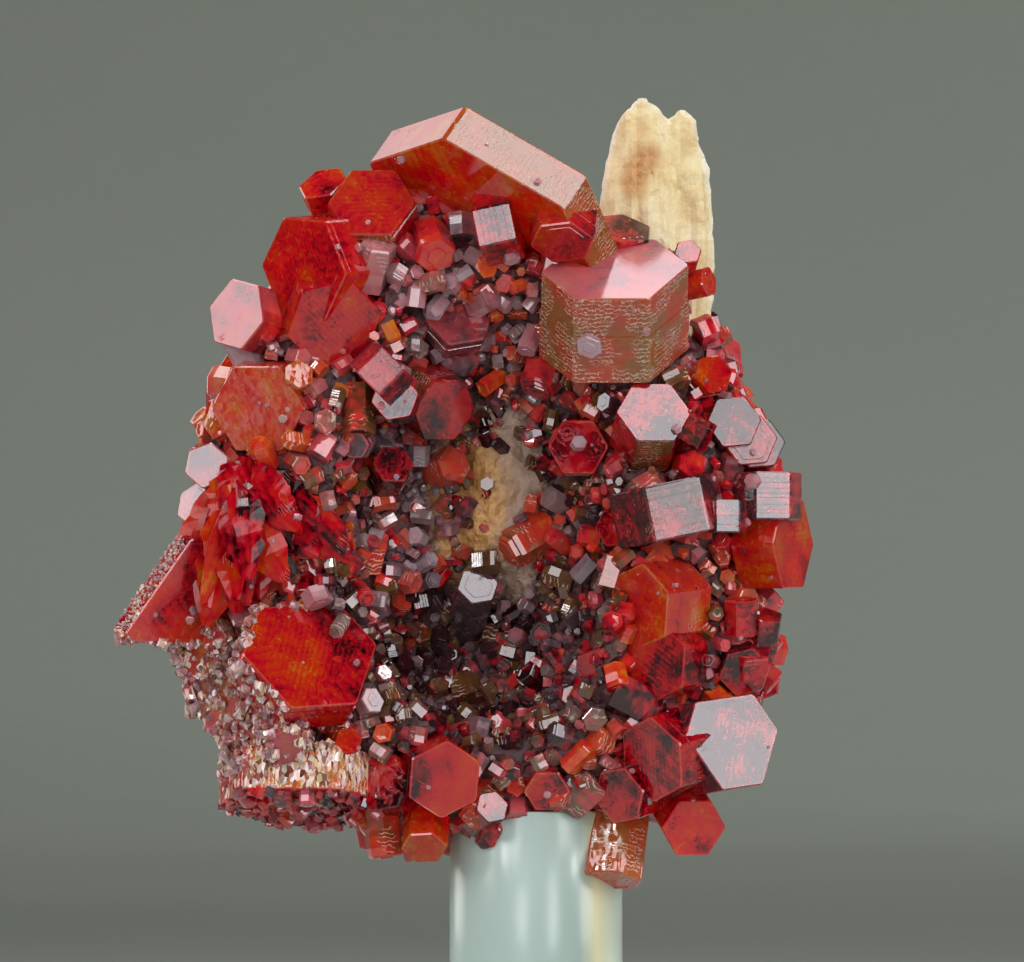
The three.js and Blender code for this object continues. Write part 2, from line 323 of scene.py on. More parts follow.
def grow_crystal(shape, crystal, rng, tint, crust, terraces):
    """A prism with growth grooves across its sides and low terraces on both ends."""
    base = np.array(crystal["apothems"])
    length = crystal["high"] - crystal["low"]
    size = float(base.mean())
    room = max(0.02, min(side_lengths(base)) * 0.35)
    groove = min(GROOVE, room * 0.3)
    bevel = min(BEVEL, room, size * 0.12)
    roughness = np.array([rng.choice((0.1, 0.35, 1.0)) for _ in range(6)])
    heights = [bevel]
    while heights[-1] < length - bevel - 0.05:
        heights.append(min(length - bevel, heights[-1] + PITCH * rng.uniform(0.5, 2.6)))
    shelf = length * rng.uniform(0.45, 0.8)
    shelf_depth = min(rng.uniform(0.0, 0.09), room * 0.5) if rng.random() < 0.6 else 0.0
    rings, alongs, marks, edges = [], [], [], []
    u, v, axis = crystal["axes"]
    fronts = []
    for corner in range(12):
        turn = HEX * ((corner + 1) // 2 - 1)
        facing = math.cos(turn) * u + math.sin(turn) * v
        fronts.append(min(1.0, max(0.0, (-facing[1] - 0.15) / 0.35)))

    def put(insets, height, marked=0.0, edge=0.0):
        ring = hexagon(base - insets, 0.05 + 0.02 * size)
        rings.append([(x, y, height) for x, y in ring])
        alongs.append(height)
        marks.extend(marked * front for front in fronts)
        edges.extend([edge] * 12)

    def end(start, sign, height):
        insets = np.array(start)
        levels = []
        for t in range(terraces):
            growth = np.array([rng.uniform(0.5, 1.5) for _ in range(6)])
            insets = insets + growth * size * 0.16
            if min(side_lengths(base - insets)) < 0.05 or min(base - insets) < 0.1:
                break
            rise = rng.choice((-1, 1)) * rng.uniform(0.015, 0.045)
            levels.append((insets.copy(), height))
            height = height + sign * rise
            insets = insets + 0.02
            levels.append((insets.copy(), height))
        return levels

    # painted highlight: how strongly the rings at the end faces' edges are tinted lighter
    painted_edge_highlight = rng.choice((0.0, 0.3, 0.65)) if room > bevel + shelf_depth + EDGE_WIDTH else 0.0
    low_end = end(np.full(6, bevel + EDGE_WIDTH), -1, 0.0)
    for insets, height in reversed(low_end):
        put(insets, height)
    if room > bevel + EDGE_WIDTH:
        put(np.full(6, bevel + EDGE_WIDTH), 0.0)
    put(np.full(6, bevel), 0.0, edge=painted_edge_highlight)
    depth = np.zeros(6)
    for low, high in zip(heights, heights[1:]):
        depth = np.array([
            depth[k] if rng.random() < 0.3 else groove * roughness[k] * rng.random()
            for k in range(6)
        ])
        inset = depth + (shelf_depth if low > shelf else 0.0)
        put(inset, low, 1.0)
        put(inset, max(low, high - 0.015), 1.0)
    put(np.full(6, bevel) + shelf_depth, length, edge=painted_edge_highlight)
    if room > bevel + shelf_depth + EDGE_WIDTH:
        put(np.full(6, bevel + EDGE_WIDTH) + shelf_depth, length)
    for insets, height in end(np.full(6, bevel + EDGE_WIDTH) + shelf_depth, 1, length):
        put(insets, height)
    local = np.array(rings).reshape(-1, 3)
    local[:, 2] += crystal["low"]
    world = crystal["middle"] + local @ np.array([u, v, axis])
    tints = np.tile(tint, (len(world), 1))
    if tint[3] > 0.95 and crust < 0.5:  # a fully lined crystal has ends pale as frost
        tints[:, 1] = np.maximum(tints[:, 1], FROSTED_END * (1.0 - np.array(marks)))
    tints[:, 3] *= marks
    # painted highlight: the edge rings turn paler and more amber
    edges = np.array(edges)
    tints[:, 0] += (1.0 - tints[:, 0]) * edges * 0.9
    tints[:, 1] += (1.0 - tints[:, 1]) * edges * 0.30
    if crust > 0.5:
        crust = crust * np.array(marks)
    if length < TABLET * size:  # tablets are lined from end to end, prisms round their sides
        outline = np.array(hexagon(base, 0.1))
        steps = np.linalg.norm(np.diff(outline, axis=0), axis=1)
        alongs = np.tile(np.concatenate(([0.0], np.cumsum(steps))), len(rings))
    else:
        alongs = np.repeat(alongs, 12)
    shape.add(world, bridge(len(rings), 12), tints, alongs + rng.uniform(0, 50), crust)


def grow_leaf(shape, foot, tip, facing, width, thick, rng, tint):
    """A thin pointed blade with a flat ridge, bent a little to one side."""
    way = tip - foot
    way_unit = way / np.linalg.norm(way)
    side = np.cross(facing, way_unit)
    side /= np.linalg.norm(side)
    front = np.cross(way_unit, side)
    bend = rng.uniform(-0.10, 0.10)
    outline = [(1, 0), (0.35, 1), (-0.25, 1), (-1, 0), (-0.35, -1), (0.35, -1)]
    points, across = [], []
    stations = 12
    for k in range(stations + 1):
        t = k / stations
        spread = math.sin(math.pi * (0.06 + 0.9 * t)) ** 0.8 * width / 2 * rng.uniform(0.82, 1.1)
        middle = foot + way * t + (side * bend + front * abs(bend)) * math.sin(math.pi * t) * 4
        for a, b in outline:
            points.append(middle + side * a * spread + front * b * thick / 2 * (0.4 + 0.6 * (1 - t)))
            across.append(a * spread * 1.6 + 3.0)
    shape.add(points, bridge(stations + 1, len(outline)), tint, across)


def seed_templates():
    """Small crystals one millimetre across, growing up from zero, to be scaled and placed."""
    templates = []
    rng = random.Random("seeds")
    for kind in ("flat", "flat", "barrel", "stepped", "hopper", "flat"):
        apothems = [0.5 * rng.uniform(0.88, 1.1) for _ in range(6)]
        profile = [(0.0, 0.0), (0.02, 0.45), (0.0, 0.8)]
        if kind == "barrel":
            profile += [(0.1, 0.94), (0.2, 1.0), (0.34, 1.0), (0.36, 0.97)]
        elif kind == "hopper":
            profile += [(0.02, 0.96), (0.05, 1.0), (0.14, 1.0), (0.18, 0.95), (0.34, 0.93)]
        elif kind == "stepped":
            profile += [(0.02, 0.9), (0.1, 0.91), (0.12, 1.0), (0.2, 1.0), (0.22, 1.05)]
        else:
            profile += [(0.02, 0.96), (0.06, 1.0), (0.26, 1.0), (0.28, 1.03)]
        points = []
        for inset, height in profile:
            ring = hexagon([a - inset for a in apothems], 0.0)[::2]
            points.extend((x, y, height) for x, y in ring)
        templates.append((np.array(points), bridge(len(profile), 6)))
    return templates


def direction_frame(axis, spin):
    axis = axis / np.linalg.norm(axis)
    helper = np.array([0.0, 0.0, 1.0]) if abs(axis[2]) < 0.9 else np.array([1.0, 0.0, 0.0])
    u = np.cross(helper, axis)
    u /= np.linalg.norm(u)
    v = np.cross(axis, u)
    c, s = math.cos(spin), math.sin(spin)
    return np.array([c * u + s * v, -s * u + c * v, axis])


# ---------------------------------------------------------------- materials
class Nodes:
    """A short way to write node trees."""

    def __init__(self, name):
        self.material = bpy.data.materials.new(name)
        self.material.use_nodes = True
        self.tree = self.material.node_tree
        self.tree.nodes.clear()
        self.output = self.tree.nodes.new("ShaderNodeOutputMaterial")

    def add(self, kind, inputs=None, **settings):
        node = self.tree.nodes.new("ShaderNode" + kind)
        for key, value in settings.items():
            setattr(node, key, value)
        for key, value in (inputs or {}).items():
            self.feed(node.inputs[key], value)
        return node

    def feed(self, socket, value):
        if hasattr(value, "links"):
            self.tree.links.new(value, socket)
        else:
            socket.default_value = value

    def attribute(self, name, part="Fac"):
        return self.add("Attribute", attribute_name=name).outputs[part]

    def place(self, scale=(1000, 1000, 1000)):
        """Position in millimetres, stretched by scale / 1000."""
        coordinates = self.add("TexCoord").outputs["Object"]
        return self.add("Mapping", {"Vector": coordinates, "Scale": scale}).outputs[0]

    def noise(self, vector, scale, detail=3.0, rough=0.55, distort=0.0, part="Fac"):
        return self.add("TexNoise", {
            "Vector": vector, "Scale": scale, "Detail": detail,
            "Roughness": rough, "Distortion": distort,
        }).outputs[part]

    def cells(self, vector, scale, feature="F1", part="Distance"):
        return self.add("TexVoronoi", {"Vector": vector, "Scale": scale},
                        feature=feature).outputs[part]

    def math(self, operation, a, b=0.0, clamp=False):
        return self.add("Math", {0: a, 1: b}, operation=operation, use_clamp=clamp).outputs[0]

    def span(self, value, low, high, to_low=0.0, to_high=1.0, smooth=True):
        node = self.add("MapRange", {
            "Value": value, "From Min": low, "From Max": high,
            "To Min": to_low, "To Max": to_high,
        }, interpolation_type="SMOOTHSTEP" if smooth else "LINEAR", clamp=True)
        return node.outputs["Result"]

    def ramp(self, value, stops):
        node = self.add("ValToRGB", {"Fac": value})
        elements = node.color_ramp.elements
        while len(elements) < len(stops):
            elements.new(0.5)
        for element, (position, color) in zip(elements, stops):
            element.position = position
            element.color = (*color, 1)
        return node.outputs["Color"]

    def mix(self, factor, a, b, blend="MIX"):
        node = self.add("Mix", data_type="RGBA", blend_type=blend)
        self.feed(node.inputs[0], factor)
        self.feed(node.inputs[6], (*a, 1) if isinstance(a, tuple) else a)
        self.feed(node.inputs[7], (*b, 1) if isinstance(b, tuple) else b)
        return node.outputs[2]

    def vector(self, operation, a, b):
        return self.add("VectorMath", {0: a, 1: b}, operation=operation).outputs[0]

    def bump(self, height, strength, distance, normal=None):
        node = self.add("Bump", {
            "Height": height, "Strength": strength, "Distance": distance,
        })
        if normal is not None:
            self.feed(node.inputs["Normal"], normal)
        return node.outputs[0]

    def finish(self, surface, volume=None):
        self.tree.links.new(surface, self.output.inputs["Surface"])
        if volume is not None:
            self.tree.links.new(volume, self.output.inputs["Volume"])
        return self.material


DEEP = (0.030, 0.0006, 0.0040)
RED = (0.84, 0.003, 0.020)
FLAME = (0.90, 0.060, 0.004)
AMBER = (0.84, 0.25, 0.02)
SMOKE = (0.46, 0.21, 0.04)
HATCH = (0.98, 0.80, 0.62)
LILAC = (0.36, 0.27, 0.30)


def vanadinite_material(name, transmission, gloss, shine=0.5, large=False):
    """Red to amber with pale ends; only large crystals have cracks and a deeper inside. Its tone also
    holds painted light: lighter toward the rock's left, darker round the hollow.
    """
    n = Nodes(name)
    place = n.place()
    tint = n.add("SeparateColor", {"Color": n.attribute("tint", "Color")})
    hue, pale, chance = tint.outputs[0], tint.outputs[1], tint.outputs[2]
    marked = n.attribute("tint", "Alpha")
    crust = n.attribute("crust")
    along = n.attribute("along")
    shift = n.math("MULTIPLY", chance, 40.0)
    moved = n.vector("ADD", place, n.add("CombineXYZ", {
        "X": shift, "Y": shift, "Z": shift}).outputs[0])
    clouds = n.noise(moved, 0.40, 2.0)
    veils = n.noise(moved, 1.9, 2.0, 0.6, 1.6 if large else 0.0)
    zoning_and_painted_light = n.math("ADD", n.span(clouds, 0.3, 0.7, -0.34, 0.34, False),
                  n.span(veils, 0.3, 0.7, -0.14, 0.14, False))
    if large:
        bent = n.vector("ADD", moved, n.noise(moved, 0.7, 1.0, 0.6, part="Color"))
        cracks = n.span(n.cells(bent, 1.1, "DISTANCE_TO_EDGE"), 0.0, 0.05, 1.0, 0.0)
        cracks = n.math("MULTIPLY", cracks, n.span(veils, 0.45, 0.65))
        zoning_and_painted_light = n.math("ADD", zoning_and_painted_light, n.math("MULTIPLY", cracks, 0.30))
    bands = n.math("SINE", n.math("ADD", n.math("MULTIPLY", along, 9.0), n.math("MULTIPLY", veils, 7.0)))
    zoning_and_painted_light = n.math("ADD", zoning_and_painted_light, n.math("MULTIPLY", bands, 0.07))
    split = n.add("SeparateXYZ", {"Vector": place})
    x, z = split.outputs[0], split.outputs[2]
    # painted light: the tone is lifted toward amber over the rock's left side, where the crystals are
    # backlit
    zoning_and_painted_light = n.math("ADD", zoning_and_painted_light, n.span(x, rock_low[0] - 0.8, rock_low[0] + 10.2, 0.14, 0.0))
    # painted shade: the tone is darkened round the hollow, where shade falls
    aside = n.math("MULTIPLY", n.math("SUBTRACT", x, HOLLOW_MIDDLE.x - 0.5), 0.12)
    above = n.math("MULTIPLY", n.math("SUBTRACT", z, HOLLOW_MIDDLE.z - 3.8), 0.085)
    apart = n.math("ADD", n.math("MULTIPLY", aside, aside), n.math("MULTIPLY", above, above))
    zoning_and_painted_light = n.math("ADD", zoning_and_painted_light, n.span(apart, 0.35, 1.3, -0.20, 0.0))
    tone = n.math("ADD", hue, zoning_and_painted_light, clamp=True)
    color = n.ramp(tone, [(0.0, DEEP), (0.36, RED), (0.72, FLAME), (1.0, AMBER)])
    if not large:
        color = n.mix(1.0, color, (0.72, 0.72, 0.72), "MULTIPLY")
    smoked = n.math("MULTIPLY", n.span(marked, 0.3, 0.85), n.span(clouds, 0.35, 0.7, 0.9, 0.15))
    color = n.mix(smoked, color, SMOKE)
    lines = n.math("SINE", n.math("MULTIPLY", n.math(
        "ADD", along, n.math("MULTIPLY", veils, 0.7)), 24.0))
    area = n.span(n.math("ADD", n.noise(moved, 0.7, 2.0), n.math("MULTIPLY", marked, 0.22)),
                  0.62, 0.74)
    hatch = n.math("MULTIPLY", n.span(lines, 0.45, 0.95), area)
    color = n.mix(n.math("MULTIPLY", hatch, marked), color, HATCH)
    color = n.mix(n.math("MULTIPLY", pale, n.span(veils, 0.25, 0.6, 0.7, 1.0)), color, LILAC)
    # crust colour per cell, from dark red through pale pink to white and gold: partly the crust's pale
    # colour, partly painted glints and painted shade on its facets
    cell = n.cells(n.place((1000, 1000, 450)), 5.0, part="Color")
    sparkle = n.add("SeparateColor", {"Color": cell}).outputs[0]
    crust_and_painted_glitter = n.ramp(sparkle, [(0.0, (0.10, 0.015, 0.01)), (0.34, (0.38, 0.11, 0.06)),
                               (0.50, (0.80, 0.58, 0.54)), (0.72, (0.94, 0.88, 0.88)),
                               (0.95, (0.88, 0.66, 0.28))])
    color = n.mix(n.math("MULTIPLY", crust, n.span(n.noise(place, 1.3, 2.0), 0.35, 0.55)),
                  color, crust_and_painted_glitter)
    facet = n.vector("SUBTRACT", cell, (0.5, 0.5, 0.5))
    facet = n.add("VectorMath", {0: facet, "Scale": n.math("MULTIPLY", crust, 1.5)},
                  operation="SCALE").outputs[0]
    facing = n.vector("ADD", n.add("NewGeometry").outputs["Normal"], facet)
    facing = n.add("VectorMath", {0: facing}, operation="NORMALIZE").outputs[0]
    rough = n.math("ADD", n.span(veils, 0.3, 0.75, gloss, gloss + 0.10),
                   n.math("MULTIPLY", pale, 0.08))
    rough = n.math("ADD", rough, n.math("MULTIPLY", hatch, 0.40))
    grain = n.math("ADD", n.math("MULTIPLY", n.noise(place, 5.0, 2.0, 0.6), 0.8),
                   n.math("MULTIPLY", n.math("SINE", n.math("MULTIPLY", along, 45.0)), 0.12))
    shader = n.add("BsdfPrincipled", {
        "Base Color": color, "Roughness": rough, "IOR": CRYSTAL_IOR, "Specular IOR Level": shine,
        "Transmission Weight": n.math("MULTIPLY", n.math("SUBTRACT", 1.0, n.math(
            "MAXIMUM", pale, crust)), transmission, clamp=True),
        "Normal": n.bump(grain, 0.10, 0.00002, facing),
    })
    if not large:
        return n.finish(shader.outputs[0])
    absorb = n.add("VolumeAbsorption", {"Color": (0.985, 0.10, 0.09, 1), "Density": 1300.0})
    return n.finish(shader.outputs[0], absorb.outputs[0])


def rock_material():
    n = Nodes("barite_rock")
    place = n.place()
    stain = n.attribute("tint", "Color")
    parts = n.add("SeparateColor", {"Color": stain})
    wine, gold = parts.outputs[0], parts.outputs[1]
    broad = n.noise(place, 0.35, 3.0, 0.6, 0.6)
    fine = n.noise(place, 3.0, 3.0, 0.65, 0.4)
    cream = n.ramp(n.math("ADD", n.math("MULTIPLY", broad, 0.6), n.math("MULTIPLY", fine, 0.4)), [
        (0.25, (0.52, 0.33, 0.12)), (0.42, (0.70, 0.54, 0.25)),
        (0.56, (0.80, 0.69, 0.38)), (0.75, (0.88, 0.84, 0.65)),
    ])
    taupe = n.ramp(broad, [(0.3, (0.30, 0.19, 0.13)), (0.7, (0.50, 0.36, 0.27))])
    cream = n.mix(parts.outputs[2], cream, taupe)
    # painted light: the blade's top and side edges are whitened
    painted_blade_light = n.math("MULTIPLY", n.attribute("tint", "Alpha"), n.span(broad, 0.3, 0.6, 0.6, 1.0))
    golden = n.ramp(fine, [(0.3, (0.36, 0.13, 0.03)), (0.6, (0.60, 0.34, 0.11))])
    # near-black wine red for the rock's front: partly a stain, partly painted shade in the gaps between
    # the seeds
    maroon = n.ramp(fine, [(0.3, (0.010, 0.001, 0.002)), (0.7, (0.09, 0.004, 0.006))])
    color = n.mix(n.span(n.math("ADD", gold, n.math("MULTIPLY", n.math("SUBTRACT", fine, 0.5), 0.6)),
                         0.3, 0.7), cream, golden)
    color = n.mix(n.span(n.math("ADD", wine, n.math("MULTIPLY", n.math("SUBTRACT", fine, 0.5), 0.7)),
                         0.35, 0.65), color, maroon)
    color = n.mix(painted_blade_light, color, (0.86, 0.85, 0.76))
    shader = n.add("BsdfPrincipled", {
        "Base Color": color, "Roughness": n.span(fine, 0.3, 0.7, 0.38, 0.62),
        "IOR": 1.64,
        "Normal": n.bump(n.noise(place, 7.0, 3.0, 0.7), 0.6, 0.00008),
    })
    return n.finish(shader.outputs[0])


FOOT_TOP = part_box("stand_foot")[1][2] / MM


def stand_material():
    n = Nodes("clear_acrylic")
    place = n.place()
    # painted refraction and reflection: bands across the rod, lighter over its left half, then darker
    # and a yellow band toward its right edge, starting just above the foot
    band_wobble = n.noise(n.place((1000, 1000, 60)), 0.5, 2.0, 0.5)
    smudge = n.noise(place, 0.06, 2.0, 0.5)
    split = n.add("SeparateXYZ", {"Vector": place})
    across = n.math("MULTIPLY", split.outputs[0], n.span(split.outputs[2], FOOT_TOP, FOOT_TOP + 0.5))
    bands = n.math("ADD", n.math("MULTIPLY", across, 0.1), n.math("MULTIPLY", band_wobble, 0.12))
    color = n.ramp(bands, [(0.0, (0.60, 0.76, 0.70)), (0.30, (0.44, 0.57, 0.51)),
                           (0.40, (0.90, 0.86, 0.52)), (0.50, (0.70, 0.80, 0.66))])
    shader = n.add("BsdfPrincipled", {
        "Base Color": color, "Roughness": n.span(smudge, 0.35, 0.7, 0.20, 0.26),
        "IOR": 1.49, "Transmission Weight": 0.30,
    })
    absorb = n.add("VolumeAbsorption", {"Color": (0.80, 0.93, 0.86, 1), "Density": 25.0})
    return n.finish(shader.outputs[0], absorb.outputs[0])


def backdrop_material():
    n = Nodes("studio_paper")
    place = n.place()
    tone = n.noise(place, 0.004, 2.0)
    color = n.ramp(tone, [(0.3, (0.40, 0.43, 0.39)), (0.7, (0.46, 0.49, 0.45))])
    shader = n.add("BsdfPrincipled", {
        "Base Color": color, "Roughness": n.span(n.noise(place, 0.4), 0.3, 0.7, 0.75, 0.9),
    })
    return n.finish(shader.outputs[0])


crystal_look = vanadinite_material("vanadinite", 0.55, 0.02, large=True)
druse_look = vanadinite_material("vanadinite_druse", 0.10, 0.02)
leaf_look = vanadinite_material("vanadinite_leaves", 0.30, 0.06, 0.015)
rock_look = rock_material()
stand_look = stand_material()


# ---------------------------------------------------------------- crystals of the frame
# node: hue (0 maroon to 1 amber), paleness, hatch and crust of its crystals, largest first
LOOKS = {
    "crown_tablet": [(0.62, 0.0, 0.9, 0.0), (0.44, 0.0, 1.0, 0.0), (0.36, 0.04, 0.2, 0.0),
                     (0.15, 0.1, 0.0, 0.0), (0.36, 0.05, 0.1, 0.0)],
    "smoky_prism": [(0.42, 0.0, 0.1, 0.0), (0.36, 0.0, 0.2, 0.0), (0.46, 0.03, 0.7, 0.0),
                    (0.30, 0.2, 0.1, 0.0), (0.50, 0.0, 0.3, 0.0)],
    "left_rough_tablet": [(0.56, 0.02, 0.3, 0.12)],
    "left_wedge_tablet": [(0.32, 0.04, 0.0, 0.0), (0.45, 0.2, 0.8, 0.9)],
    "lilac_prism": [(0.1, 0.6, 0.0, 0.0)],
    "left_front_tablet": [(0.42, 0.0, 1.0, 1.0), (0.42, 0.0, 0.1, 0.0),
                          (0.40, 0.0, 0.0, 0.0), (0.34, 0.0, 0.2, 0.0),
                          (0.20, 0.4, 0.0, 0.0), (0.62, 0.0, 0.2, 0.0)],
    "right_amber_prism": [(0.56, 0.02, 0.4, 0.0), (0.32, 0.0, 0.1, 0.0), (0.24, 0.0, 0.1, 0.0)],
    "right_pink_prism": [(0.04, 0.12, 0.1, 0.0), (0.26, 0.0, 0.2, 0.0), (0.62, 0.0, 0.8, 0.12),
                         (0.46, 0.0, 0.3, 0.0), (0.24, 0.0, 0.2, 0.0), (0.20, 0.03, 0.2, 0.0)],
    "rim_red_prism": [(0.02, 0.12, 0.4, 0.0), (0.56, 0.0, 0.3, 0.0), (0.18, 0.03, 0.7, 0.0),
                      (0.02, 0.12, 0.1, 0.0), (0.36, 0.0, 0.1, 0.0), (0.02, 0.14, 0.1, 0.0),
                      (0.02, 0.14, 0.1, 0.0), (0.10, 0.1, 0.1, 0.0), (0.30, 0.0, 0.1, 0.0),
                      (0.05, 0.1, 0.1, 0.0), (0.20, 0.0, 0.4, 0.0)],
    "rim_diamond_prism": [(0.30, 0.02, 0.9, 0.0), (0.14, 0.15, 0.0, 0.0)],
    "rim_grey_bud": [(0.12, 0.35, 0.0, 0.0)],
    "rim_upper_prism": [(0.20, 0.32, 0.8, 0.0)],
    "hollow_white_prism": [(0.10, 0.30, 0.3, 0.0)],
    "right_shoulder_prism": [(0.55, 0.0, 0.3, 0.0)],
}
DEFAULT_LOOKS = [(0.30, 0.03, 0.3, 0.0)]

LEAVES = 44
LEAF_TURN = (-112, -26)    # degrees round from +X
LEAF_LENGTH = (3.6, 7.6)


def leaf_fan(shape, node):
    """Flame-like blades that spread from the upper left corner of the node's box."""
    low, high = (np.array(v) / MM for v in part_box(node))
    corner = np.array([low[0] + 0.4, (low[1] + high[1]) / 2, high[2] - 0.8])
    rng = random.Random("leaves")
    for k in range(LEAVES):
        share = (k + rng.random()) / LEAVES
        turn = math.radians(LEAF_TURN[0] + share * (LEAF_TURN[1] - LEAF_TURN[0]))
        length = rng.uniform(*LEAF_LENGTH) * (1.0 - 0.25 * share)
        foot = corner + np.array([rng.uniform(-0.5, 1.2), rng.uniform(-0.6, 1.6),
                                  rng.uniform(-1.4, 0.6)])
        foot += np.array([math.cos(turn), 0, math.sin(turn)]) * rng.uniform(0, 1.4)
        tip = foot + length * np.array([math.cos(turn), rng.uniform(-0.35, 0.1), math.sin(turn)])
        facing = np.array([rng.gauss(-0.05, 0.3), -1.0, rng.gauss(-0.28, 0.2)])
        hue = rng.uniform(0.06, 0.50)
        grow_leaf(shape, foot, tip, facing, rng.uniform(1.5, 3.4), rng.uniform(0.25, 0.5), rng,
                  (hue, 0.0, rng.random(), 0.2))


for node in CRYSTAL_NODES:
    looks = LOOKS.get(node, DEFAULT_LOOKS)
    shape = Shape()
    crystals = read_crystals(node)
    if node == "fan_plate_upper":
        leaf_fan(shape, node)
        crystals = []
    for rank, crystal in enumerate(crystals):
        rng = random.Random(f"{node}{rank}")
        hue, pale, hatch, crust = looks[min(rank, len(looks) - 1)]
        tint = (hue + rng.uniform(-0.06, 0.06), pale, rng.random(), hatch)
        grow_crystal(shape, crystal, rng, tint, crust, rng.choice((0, 0, 1)))
    look = leaf_look if node == "fan_plate_upper" else crystal_look
    piece = make_piece(node + "_grown", shape, look)
    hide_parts(node)


# ---------------------------------------------------------------- rock
def rock_mesh():
    """The rock's own mesh, remade with small even faces."""
    source = nodes["matrix"]
    helper = bpy.data.objects.new("helper", source.data.copy())
    bpy.context.scene.collection.objects.link(helper)
    remesh = helper.modifiers.new("remesh", "REMESH")
    remesh.mode = "VOXEL"
    remesh.voxel_size = 0.3 * MM
    graph = bpy.context.evaluated_depsgraph_get()
    mesh = bpy.data.meshes.new_from_object(helper.evaluated_get(graph))
    bpy.data.objects.remove(helper)
    return mesh


def fractal(point, scale, octaves=3):
    total, weight = 0.0, 1.0
    for _ in range(octaves):
        total += weight * noise.noise(point * scale)
        scale *= 2.1
        weight *= 0.5
    return total


BLADE_BASE = rock_high[2] - 8.5
BLADE_FOOT = rock_high[2] - 13.0


def on_blade(point):
    """Whether a point of the rock is on the pale blade beside the crown."""
    if point.z > BLADE_BASE:
        return point.x > middle_x + 3
    return point.z > BLADE_FOOT and point.x > middle_x + 11.0


def roughness_of(point, blade):
    """How far the rock's skin moves out here: ribs along the blade, lumps elsewhere."""
    if blade:
        ribs = noise.noise(Vector((point.x * 1.9, point.y * 1.9, point.z * 0.22)))
        return 0.28 * ribs + 0.12 * fractal(point, 1.2)
    return 0.40 * fractal(point, 0.35) + 0.22 * fractal(point + Vector((9, 4, 2)), 1.5)


def rock_tint(point, normal, blade):
    """Shares of wine red, gold, taupe and painted light on the blade: a bare core and an amber patch in
    the hollow. The wine red is near black, partly a stain and partly painted shade between the seeds.
    """
    front = max(0.0, min(1.0, (rock_low[1] + 12.4 - point.y) / 4.0))
    rise = ((point.z - HOLLOW_MIDDLE.z - 0.4) / 6.0) ** 2
    core = math.exp(-((point.x - HOLLOW_MIDDLE.x - 1.9) / 1.9) ** 2 - rise)
    amber = math.exp(-((point.x - HOLLOW_MIDDLE.x + 1.2) / 2.2) ** 2 - rise)
    gold = 0.35 * max(0.0, fractal(point, 0.25, 2)) + amber * front
    if not blade:
        # wine red on the front, less on the bare core and amber patch: partly a stain, partly painted
        # shade
        return front * (1.0 - min(1.0, core + 0.8 * amber)), gold, front, 0.0
    stain = math.exp(-((point.x - middle_x - 8.6) / 1.3) ** 2)
    gold += 0.55 * stain + 0.5 * fractal(point, 0.35, 2)
    # the last share is painted light, whitening the blade where its faces turn across the view
    return 0.0, gold, 0.0, max(0.0, min(0.9, 1.1 - 1.3 * abs(normal.y)))


mesh = rock_mesh()
moved, tints = [], []
for vertex in mesh.vertices:
    point = Vector(vertex.co) / MM
    blade = on_blade(point)
    moved.append(point + vertex.normal * roughness_of(point, blade))
    tints.append(rock_tint(point, vertex.normal, blade))
mesh.vertices.foreach_set("co", (np.array(moved) * MM).ravel())
layer = mesh.attributes.new("tint", "FLOAT_COLOR", "POINT")
layer.data.foreach_set("color", np.array(tints, np.float32).ravel())
mesh.materials.clear()
mesh.materials.append(rock_look)
mesh.polygons.foreach_set("use_smooth", [False] * len(mesh.polygons))
mesh.update()
rock = bpy.data.objects.new("barite_rock", mesh)
bpy.context.scene.collection.objects.link(rock)
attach(rock, "root")
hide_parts("matrix")


# ---------------------------------------------------------------- druse
def tree_of(objects):
    points, faces, start = [], [], 0
    for o in objects:
        points.extend([v.co / MM for v in o.data.vertices])
        faces.extend([[i + start for i in p.vertices] for p in o.data.polygons])
        start = len(points)
    return BVHTree.FromPolygons(points, faces)


grown = [o for o in bpy.context.scene.objects if o.name.endswith("_grown")]
rock_tree = tree_of([rock])
crystal_tree = tree_of(grown)
TEMPLATES = seed_templates()


class Spacing:
    """Keeps placed seeds from piling up."""

    def __init__(self, cell):
        self.cell = cell
        self.bins = {}

    def free(self, point, radius, share):
        key = tuple(int(math.floor(v / self.cell)) for v in point)
        for dx in (-1, 0, 1):
            for dy in (-1, 0, 1):
                for dz in (-1, 0, 1):
                    near = self.bins.get((key[0] + dx, key[1] + dy, key[2] + dz), ())
                    for other, size in near:
                        if (other - point).length < share * (size + radius):
                            return False
        self.bins.setdefault(key, []).append((point, radius))
        return True


def tilt(normal, amount, rng):
    push = Vector((rng.gauss(0, 1), rng.gauss(0, 1), rng.gauss(0, 1))) * amount
    return (Vector(normal) + push).normalized()


def place_seed(shape, point, axis, radius, height, tint, rng, sink, crust=0.0, glint=None):
    """A seed grows along the axis; with glint, one of its sides faces that way instead."""
    template, faces = rng.choice(TEMPLATES)
    axes = direction_frame(np.array(axis), rng.uniform(0, math.tau))
    if glint is not None:
        length = np.cross(glint, np.array(axis))
        length /= np.linalg.norm(length)
        axes = np.array([glint, np.cross(length, glint), length])
    local = template * np.array([2 * radius, 2 * radius, height])
    local[:, 2] -= sink
    world = np.array(point) + local @ axes
    shape.add(world, faces, tint, template[:, 2] * height + rng.uniform(0, 50), crust)


def front_hit(x, z, rng):
    start = Vector((x, -30.0, z))
    way = Vector((rng.gauss(0, 0.22), 1.0, rng.gauss(0, 0.22))).normalized()
    on_rock = rock_tree.ray_cast(start, way)
    on_crystal = crystal_tree.ray_cast(start, way)
    if on_crystal[0] is not None and (on_rock[0] is None or on_crystal[3] < on_rock[3]):
        return "crystal", on_crystal[0], on_crystal[1]
    if on_rock[0] is not None:
        return "rock", on_rock[0], on_rock[1]
    return None, None, None


